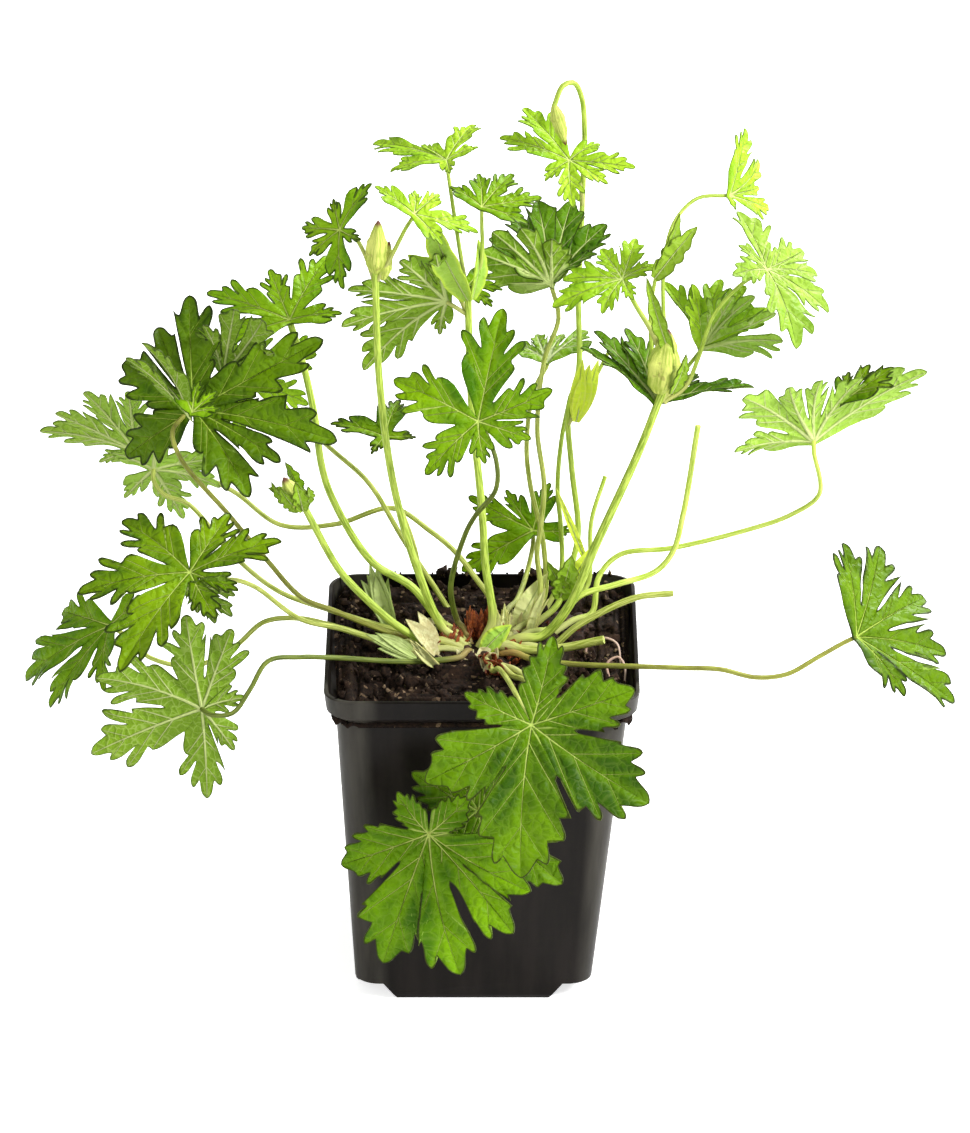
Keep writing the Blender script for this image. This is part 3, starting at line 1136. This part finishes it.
grown_stalk(
    2, "stalk_c",
    [
        ([(17, 0, 100), (25, -1, 110), (33, 1, 129), (45, 3, 157), (52, 3, 177)], STALK + 0.2),
        ([(52, 3, 172), (53, 9, 178), (52, 14, 192), (52, 21, 206), (55, 31, 216), (62, 38, 221),
          (70.5, 40, 221)], TWIG),
        ([(52, 3, 172), (58, 5, 176), (62, 9, 184), (66, 12, 195), (74, 14, 204), (80.5, 15, 207.5)], TWIG),
        ([(52, 3, 172), (57, 11, 177), (63, 20, 181.5)], TWIG),
        ([(52, 3, 172), (49, 8, 182), (48, 9, 197), (50, 6, 214)], TWIG),
        ([(51.5, 3, 186), (48, 4, 194), (44, 6.5, 200), (40, 10, 206.5)], PETIOLE),
    ],
    [
        ("bright", (71, 40, 221), (60, 20), [(5, 20), (9, 11), (9, 3), (12, -3), (2, -4)], {}),
        ("lit", (81, 15, 208), (55, 50),
         [(-10, -2), (-8, 7), (-8, 17), (11, 6), (15, -1), (18, -12), (8, -23)],
         {"width": 0.3, "teeth": "oak"}),
        ("bright", (40, 10, 207), (-20, 60),
         [(-6, -10), (-20, -8), (-17, 0), (-6, 9), (4, 12), (10, 4), (3, -6)],
         {"width": 0.27, "teeth": "oak"}),
        ("bright", (63, 20, 182), (20, 80),
         [(-11, 19, -4), (-3, 18, 8), (6, 20, -10), (13, 18, -8), (20, 11, -4)], {"width": 0.28}),
        ("sunlit", (63, 19, 182), (180, 20),
         [(9, 15, 8), (15, 15, 6), (21, 10, 7), (23, 2, 9)], {"width": 0.3, "sinus": 0.45}),
        ("ribbed", (50, 4, 171), (0, 90),
         [(-22, 16, 6), (-18, 21, 0), (-9, 22, -5), (12, 9, -12), (28, 5, -6)], {}),
    ],
    buds=[((50.5, 3, 174.5), (53, 2, 195), 4.6)],
    bracts=[
        ((54, 2, 186), (46.5, -1, 212), 2.4, (-10, 10)), ((54, 0.5, 176), (58, -2, 189), 2.4, (30, 10)),
        ((49, 5.5, 209), (61, 8, 224), 3.4, (-20, 10)), ((49, 6.5, 210), (56, 10, 227), 2.6, (40, 10)),
    ],
)
grown_stalk(
    3, "stalk_d",
    [
        ([(-12, 8, 101), (-20, 10, 111), (-32, 11, 119), (-43, 12, 138), (-46, 12, 148), (-48, 12, 164),
          (-51, 15, 178), (-55, 18, 191)], STALK),
    ],
    [
        ("vivid", (-55, 18, 191.3), (0, 60), [(-21, -7), (-24, 8), (-6, 15), (11, 19), (15, 2)], {}),
    ],
)
grown_stalk(
    4, "stalk_e",
    [
        ([(22, 16, 103), (26, 21, 113), (28, 24, 122), (26, 25, 143), (25, 26, 160), (28, 33, 170),
          (28, 44, 187.5), (29, 48, 216), (29.5, 47, 239), (28.5, 45, 249.5), (26, 42, 254.8),
          (23, 40, 254.4), (20.5, 38, 248.7)], 1),
        ([(23, 26, 108), (23, 28.5, 122), (22, 29, 134), (23, 29, 149), (25.5, 27, 164)], PETIOLE),
        ([(25, 25, 156), (28, 26, 162), (33, 28, 170), (37, 29, 178)], TWIG),
        ([(29, 48, 214), (28.6, 47, 220), (27, 44.5, 226), (25, 39.5, 231.5)], TWIG),
    ],
    [
        ("bright", (25, 39, 232), (0, 65),
         [(-20, 7), (-13, 16), (9, 5), (19, -2), (11, -7), (1, -14), (-7, -6)], {}),
    ],
    buds=[((20.5, 38, 249.7), (24, 37, 237.5), 2)],
    bracts=[
        ((22.6, 16.8, 104.5), (26, 15, 119), 4, (10, 15)), ((25, 16, 107), (19, 15, 117), 2.6, (-20, 15)),
    ],
    sheaths=[
        ((27, 25, 157), (29, 24.5, 176.5), 2.3, (-10, 10)),
        ((27.3, 25, 157), (33.6, 25.5, 176), 2.3, (15, 10)),
        ((27.2, 24.6, 157), (31, 24.5, 175), 2.6, (0, 10)), ((31, 18, 114), (21.5, 18, 139), 1.1, (0, 10)),
        ((24, 17, 106), (31.5, 16, 121), 2.6, (10, 15)),
    ],
)
grown_stalk(
    5, "stalk_f",
    [
        ([(-16, -3, 100), (-24, -4, 105), (-34, -5, 115), (-41, -6, 124), (-51, -8, 145)], STALK),
    ],
    [],
    buds=[((-51, -8, 143), (-56.5, -9, 154), 3)],
    bracts=[
        ((-51, -10, 144), (-53, -12.5, 154), 2.6, (10, 10)),
        ((-53, -8, 144), (-60, -8, 152), 2.2, (-60, 20)),
        ((-52, -10, 144), (-57.5, -12, 152), 2.4, (-30, 20)),
        ((-50, -8, 145), (-49.5, -11, 152), 2, (40, 20)), ((-51, -7, 145), (-56, -5, 157), 2.2, (170, 20)),
        ((-52, -6, 145), (-61, -5, 149), 2, (-90, 30)),
    ],
)


# ---------------------------------------------------------------- rootstock
# A knobbly woody crown at soil level, wrapped in brown papery stipules. Cut stem ends, folded
# young leaves and pale sheaths stand on it, and two pale roots loop over the soil beside it.
GROWING_POINTS = [
    (1, -7, 10, 97.5), (-8, 2, 10, 98), (-18, 3, 7.5, 97.5), (6, 8, 10, 98),
    (16, 2, 9, 98), (24, 16, 9, 98.5), (12, 18, 8.5, 98), (-8, 17, 7, 98),
]
CROWN_DEPTH = 13
PLEATS = 5


def crown_lump(x, y, radius, top, seed, depth=CROWN_DEPTH, rings=34, sides=60):
    """A knobbly lump: rings over a rounded outline, pushed in and out by waves of three sizes."""
    random = np.random.default_rng(seed)
    polar = np.linspace(0, np.pi, rings)[:, None]
    turn = np.linspace(0, 2 * np.pi, sides, endpoint=False)[None]
    phase = random.uniform(0, 6.3, 4)
    bulge = 1 + 0.07 * np.sin(3 * turn + phase[0]) + 0.06 * np.sin(7 * turn + 4 * polar + phase[1])
    bulge = bulge + 0.05 * np.sin(13 * turn - 9 * polar + phase[2]) * np.sin(polar) ** 2
    across = radius * 0.96 * np.sin(polar) ** 0.8 * (1 + (bulge - 1) * np.sin(polar))
    height = top - depth / 2 + depth / 2 * np.cos(polar) + 0 * turn
    rough = 0.05 * depth * random.standard_normal((rings, sides)) * np.sin(polar)
    points = np.dstack([x + across * np.cos(turn), y + across * np.sin(turn), height + rough]).reshape(-1, 3)
    triangles = grid_triangles(rings, sides, True)[:, ::-1]
    points, triangles, _, _ = weld(points, triangles)
    return part_of(points, triangles, {}, "crown_bark", np.zeros((len(triangles), 3, 2)))


def bark_finish(name, pale, deep, rough=0.85):
    """Dry brown tissue: long fibres, dark cracks and paler flakes."""
    tree, shader = new_finish(name)
    fibres = noise(tree, 700, 5, 0.7)
    skin = mixed(tree, faded(tree, fibres, 0.35, 0.7), deep, pale)
    skin = mixed(tree, times(tree, faded(tree, noise(tree, 140, 3), 0.45, 0.7), 0.6), skin, deep)
    dressed(tree, shader, skin, rough, fibres, 0.0006)


def lump_crumbs(count, seed):
    """Lumps of soil and bark that lie on the rootstock, as small squashed spheres."""
    random = np.random.default_rng(seed)
    lumps = np.array(GROWING_POINTS)[random.integers(0, len(GROWING_POINTS), count)]
    out = random.uniform(0, 1, count) ** 0.6
    turn = random.uniform(0, 2 * np.pi, count)
    place = lumps[:, :2] + (lumps[:, 2] * out)[:, None] * np.column_stack([np.cos(turn), np.sin(turn)])
    height = lumps[:, 3] - CROWN_DEPTH / 2 * (1 - np.sqrt(1 - out ** 2.5))
    balls = []
    for x, y, z in np.column_stack([place, height]):
        size = 0.6 + 1.7 * random.random() ** 2
        balls.append(crown_lump(x, y, size, z + 0.5 * size, int(random.integers(1e6)), size * 1.3, 6, 7))
    return balls


def cluster(x, y, z, count, height, spread, width, finish, seed, lean=(0, 0)):
    """Papery scales that stand round a point, taller in the middle, each leaning its own way."""
    random = np.random.default_rng(seed)
    scales = []
    for number in range(count):
        turn = np.radians(360 * number / count + random.uniform(-30, 30))
        way = np.array([np.sin(turn), -np.cos(turn), 0])
        out = spread * random.uniform(0.3, 1)
        foot = np.array([x, y, z]) + out * way
        tall = height * (1.15 - 0.5 * out / spread) * random.uniform(0.75, 1.1)
        tip = foot + [lean[0], lean[1], tall] + way * random.uniform(0.3, 2.2)
        scales.append(lance(foot, tip, width * random.uniform(0.7, 1.2), (np.degrees(turn), 5), finish,
                            random.uniform(0.02, 0.12), -0.4, 0.22))
    return scales


leaf_finish("cream_sheath", "e4e69a", "bccc66", "f0ecbc", "ccc67c", "e6e8a4", 0.3, 0.2, 0.05)
bark_finish("crown_bark", "4a2c1c", "1c100a")
bark_finish("stipule", "c0642c", "5c220e", 0.6)
bark_finish("cream_scale", "ecebb4", "c9bd84", 0.7)
random = np.random.default_rng(8)
wrappings = (
    cluster(-1, 7.5, 95.5, 14, 11.5, 3.2, 1.2, "stipule", 3)
    + cluster(-1, 6, 96, 8, 8, 3, 1.1, "stipule", 14)
    + cluster(-10, 0, 96.5, 10, 6.5, 3, 1.2, "stipule", 4)
    + cluster(-14, -2, 96.5, 7, 5.5, 2, 1.1, "stipule", 5)
    + cluster(2, -11, 97, 9, 4.5, 2.2, 1.5, "stipule", 6, (0.8, -4))
    + cluster(3, -16, 96.5, 8, 4, 2.2, 1.4, "stipule", 7, (0.8, -4.5))
    + cluster(-7, 2, 96.5, 8, 6, 2.6, 1.3, "stipule", 10)
    + cluster(4, 3, 97, 7, 6, 2.4, 1.3, "stipule", 12)
    + cluster(8, -4, 97, 7, 4.5, 2.4, 1.2, "stipule", 13, (1, -1))
    + [lance((-13, -6, 96.5), (-22, -1, 106), 2.4, (15, 50), "cream_scale", 0.12, 0.4, 0.3),
       lance((-13, -5, 96.5), (-18.5, 1, 107.5), 2.2, (25, 40), "cream_scale", 0.08, 0.4, 0.3),
       lance((0, -4, 96.5), (8.5, -1.5, 104.5), 3, (0, 45), "bract", 0.1, 0.4, 0.4),
       lance((9, 9, 96), (19, 18, 112), 3, (-20, 35), "cream_sheath", 0.04, 0.5, 0.3),
       lance((4, 4, 96), (3.5, 6, 108), 1.6, (10, 20), "cream_sheath", 0.04, 0.5, 0.3)]
    + cluster(9, 8, 95.5, 5, 8, 2, 1.8, "cream_scale", 8, (1, 1))
    + cluster(2, -8, 96, 5, 5, 2.4, 2, "cream_scale", 9, (-1, -1))
)
for x, y, z in stem_feet:
    finish = "cream_scale" if random.random() < 0.4 else "stipule"
    tall, seed = random.uniform(2.5, 5), int(random.integers(1e6))
    wrappings += cluster(x, y, z - 3.5, 3, tall, 2.2, 1.2, finish, seed)
lumps = [crown_lump(*values, seed) for seed, values in enumerate(GROWING_POINTS)]
piece("rootstock", lumps + lump_crumbs(260, 5) + wrappings, "crown")

stem_finish("root_pale", "e6cdbd", "c9a591", "c9a591")
STUMPS = [
    ("stump_tall", 0.9, "petiole_lime", [
        (20, 5.5, 100), (28, 6, 110), (39, 8, 113), (50, 10, 116), (55, 10, 122), (58, 10, 134),
        (62, 10, 162),
    ]),
    ("stump_right", 1, "petiole_green", [(19, -6, 99), (28, -7, 107), (44, -6, 115), (55, -5, 116)]),
    ("stump_front", 1.3, "petiole_green", [(12, -8, 99.5), (23, -11, 101.5), (35, -13, 105)]),
    ("stump_back", TWIG, "petiole_lime", [(31, 28, 104), (32, 33, 122), (36, 36, 135)]),
]
for name, radius, finish, route in STUMPS:
    piece("cut_" + name, [stem(from_knot(route), radius, finish, 0.95, 1.25)], name)


def furled(foot, tip, half, turned, finish, seed):
    """A leaf or sheath that is still folded: narrow pleats side by side, of uneven height."""
    random = np.random.default_rng(seed)
    foot, tip = np.array(foot, float), np.array(tip, float)
    normal, across = squared(facing(turned), unit(tip - foot))
    pleats = []
    for place in np.linspace(-0.75, 0.75, PLEATS):
        tall = (1 - 0.3 * abs(place)) * random.uniform(0.82, 1.0)
        top = foot + (tip - foot) * tall + across * half * place + normal * random.uniform(-0.6, 0.6)
        turn = (turned[0] + 50 * place + random.uniform(-12, 12), turned[1])
        start = foot + across * half * 0.25 * place + normal * random.uniform(-0.25, 0.25)
        width = 0.46 * half * random.uniform(0.8, 1.2)
        pleats.append(lance(start, top, width, turn, finish, 0.05, 0.55, 0.28))
    return pleats


leaf_finish("woolly", "b4c87c", "84a24a", "e2e8bc", "8a9a52", "bccb84", 0.3, 0.25, 0.1)
FOLDED_LEAVES = [
    ("young_leaf_left", (-19, -9.8, 97.3), (-34, -11, 106.5), 3.4, (0, 50)),
    ("young_leaf_back_left", (-26, 11, 97), (-33, 14.5, 118), 5.2, (-15, 20)),
    ("sheath_front", (-12, -12.5, 96), (-21, -15.5, 106), 2.6, (-20, 20)),
    ("sheath_middle", (7, 5.5, 95), (6.5, 6.5, 109), 2.2, (0, 20)),
    ("sheath_right", (13.5, 5.5, 95), (19, 10, 113), 2.8, (-30, 15)),
]
for number, (name, *form) in enumerate(FOLDED_LEAVES):
    skin = "woolly" if name.startswith("young") else "cream_sheath"
    piece("folded_" + name, furled(*form, skin, 60 + number), name)
ROOTLETS = [
    ("rootlet_middle", [(30, -4, 95), (30.5, -3, 99), (35, -3, 101), (39, -5, 100), (40, -8, 95)]),
    ("rootlet_front", [(36.5, -17, 94.5), (36, -15, 98.5), (39, -14, 100), (41, -17, 98.5), (41, -19, 94)]),
]
for name, route in ROOTLETS:
    piece("loop_" + name, [stem(route, 0.38, "root_pale", 0.7, 1.1, 8, 0.8)], name)

# ---------------------------------------------------------------- floor, light and camera
# A plain white floor under soft, even studio light. The camera looks down at the plant from in
# front with a long lens.
FLOOR_HALF = 4000
FOCAL_PIXELS = 6950
FRAME_PIXELS = 1133
SENSOR_WIDTH = 36
AIM = np.array([0.9, 0, 122.2]) / 1000
DISTANCE = 2
floor_points = np.column_stack([SQUARE * FLOOR_HALF, np.zeros(4)])
floor = object_of("floor", mesh_of("floor", floor_points, np.array([[0, 1, 2], [0, 2, 3]])))
floor_tree, floor_shader = new_finish("white_floor")
ray = node(floor_tree, "ShaderNodeLightPath").outputs
seen = maths(floor_tree, "MAXIMUM", ray["Is Camera Ray"], times(floor_tree, ray["Is Glossy Ray"], 0.35))
fed(floor_tree, floor_shader, {
    "Base Color": (0.9, 0.9, 0.9, 1), "Roughness": 0.9,
    "Emission Color": (1, 1, 1, 1), "Emission Strength": times(floor_tree, seen, 0.7),
})
floor.data.materials.append(bpy.data.materials["white_floor"])

world = bpy.data.worlds.new("studio")
world.use_nodes = True
fed(world.node_tree, world.node_tree.nodes["Background"], {"Color": (1, 1, 1, 1), "Strength": 0.5})
bpy.context.scene.world = world
bpy.context.scene.view_settings.view_transform = "Standard"


def soft_box(name, place, target, size, power):
    """A square lamp that faces a target."""
    lamp = bpy.data.lights.new(name, "AREA")
    lamp.shape, lamp.size, lamp.energy = "SQUARE", size, power
    made = bpy.data.objects.new(name, lamp)
    bpy.context.scene.collection.objects.link(made)
    made.location = place
    back = unit(np.subtract(place, target))
    side = unit(np.cross([0, 0, 1], back))
    turned = np.column_stack([side, np.cross(back, side), back])
    made.rotation_euler = mathutils.Matrix(turned.tolist()).to_euler()


soft_box("key", (1.0, -0.5, 1.0), (0, 0, 0.12), 0.4, 22)
soft_box("back_right", (0.8, 0.9, 0.9), (0, 0, 0.15), 0.4, 20)
soft_box("fill", (-0.9, -0.9, 0.7), (0, 0, 0.12), 0.9, 4)

camera_data = bpy.data.cameras.new("camera")
camera_data.sensor_width = SENSOR_WIDTH
camera_data.lens = SENSOR_WIDTH * FOCAL_PIXELS / FRAME_PIXELS
camera_data.clip_end = 50
camera = bpy.data.objects.new("camera", camera_data)
bpy.context.scene.collection.objects.link(camera)
camera.location = AIM + DISTANCE * TOWARD
camera.rotation_euler = (np.pi / 2 - VIEW_TILT, 0, 0)
bpy.context.scene.camera = camera
